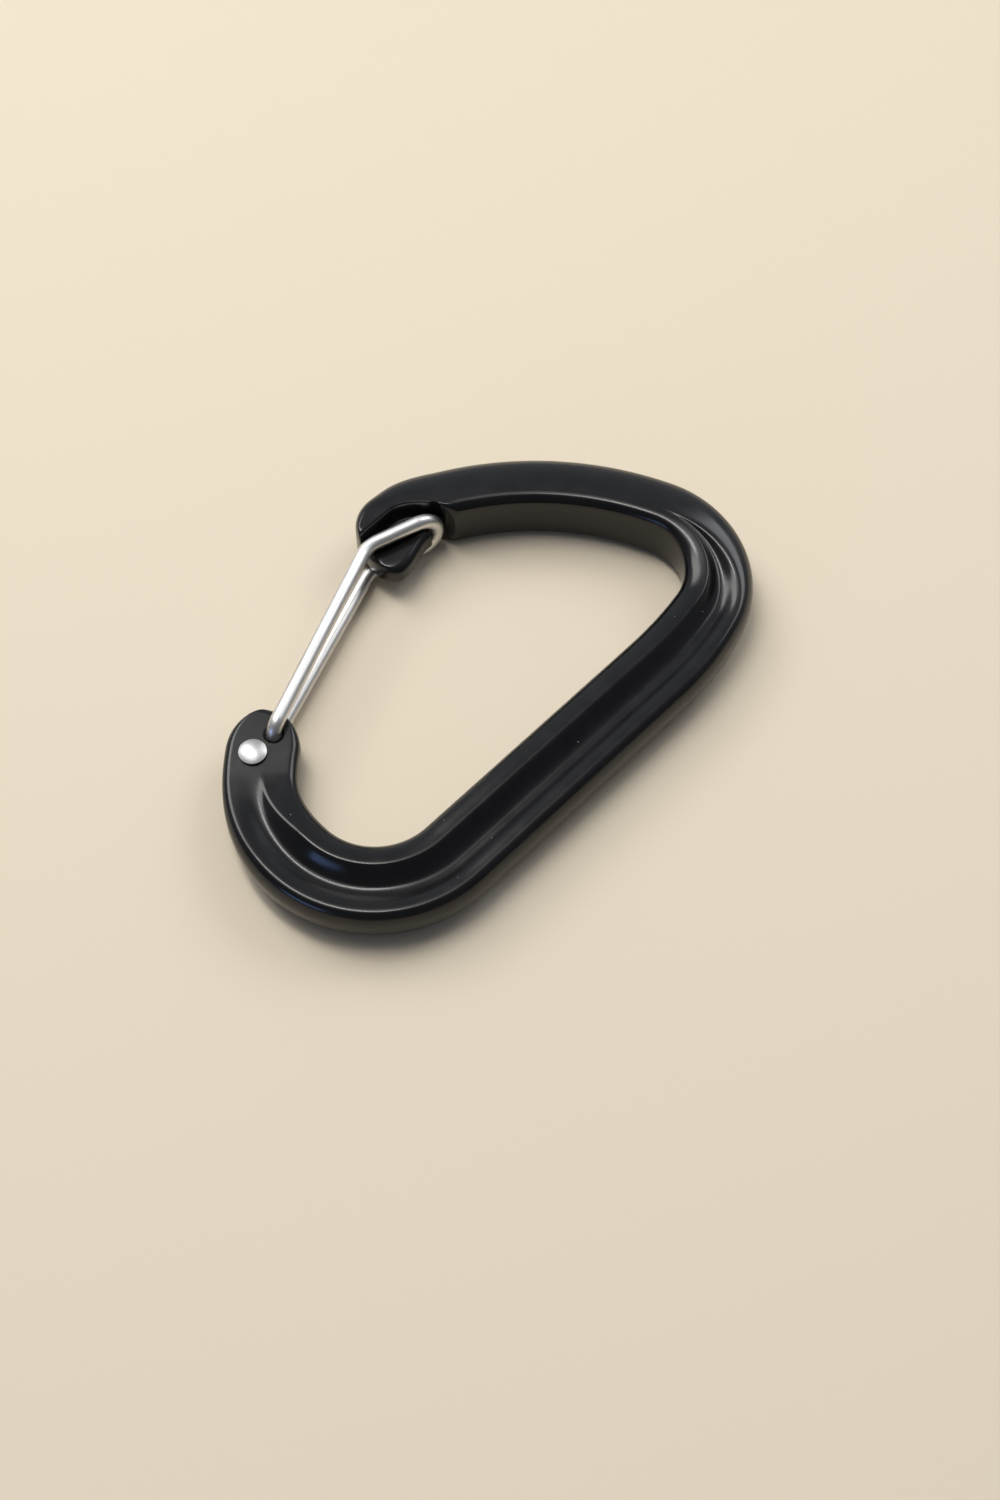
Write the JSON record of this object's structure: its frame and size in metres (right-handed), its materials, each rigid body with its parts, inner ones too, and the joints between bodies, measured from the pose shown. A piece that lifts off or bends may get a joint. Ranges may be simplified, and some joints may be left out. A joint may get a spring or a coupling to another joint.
{
  "type": "wire-gate carabiner",
  "caption": "Small D-shaped carabiner with a forged, channelled frame and a sprung wire gate that swings inwards and shuts over a tongue on the nose.",
  "frame": {"origin": "middle of the outline, on the surface that the carabiner lies on", "axes": "+Y along the spine towards the bow, +X from the gate to the spine, +Z out of the face that lies up"},
  "size_m": [0.0484, 0.0764, 0.0078],
  "materials": {
    "anodised": "black anodised, semi-gloss over a fine tumbled grain",
    "wire": "polished drawn stainless wire",
    "head": "polished pressed head"
  },
  "bodies": {
    "body": {"frame": "anodised", "gate_spring_leg": "wire", "lower_leg_head": "head"},
    "gate": {"gate_wire": "wire"}
  },
  "joints": [
    {"name": "gate_hinge", "type": "hinge", "parent": "body", "child": "gate", "pos_m": [-0.00792, -0.02389, 0.0039], "axis": [0, 0, -1], "range_deg": [0, 40], "stiffness_Nm_per_rad": 0.15, "springref_deg": -20.05, "deforming": ["gate_spring_leg"]}
  ]
}
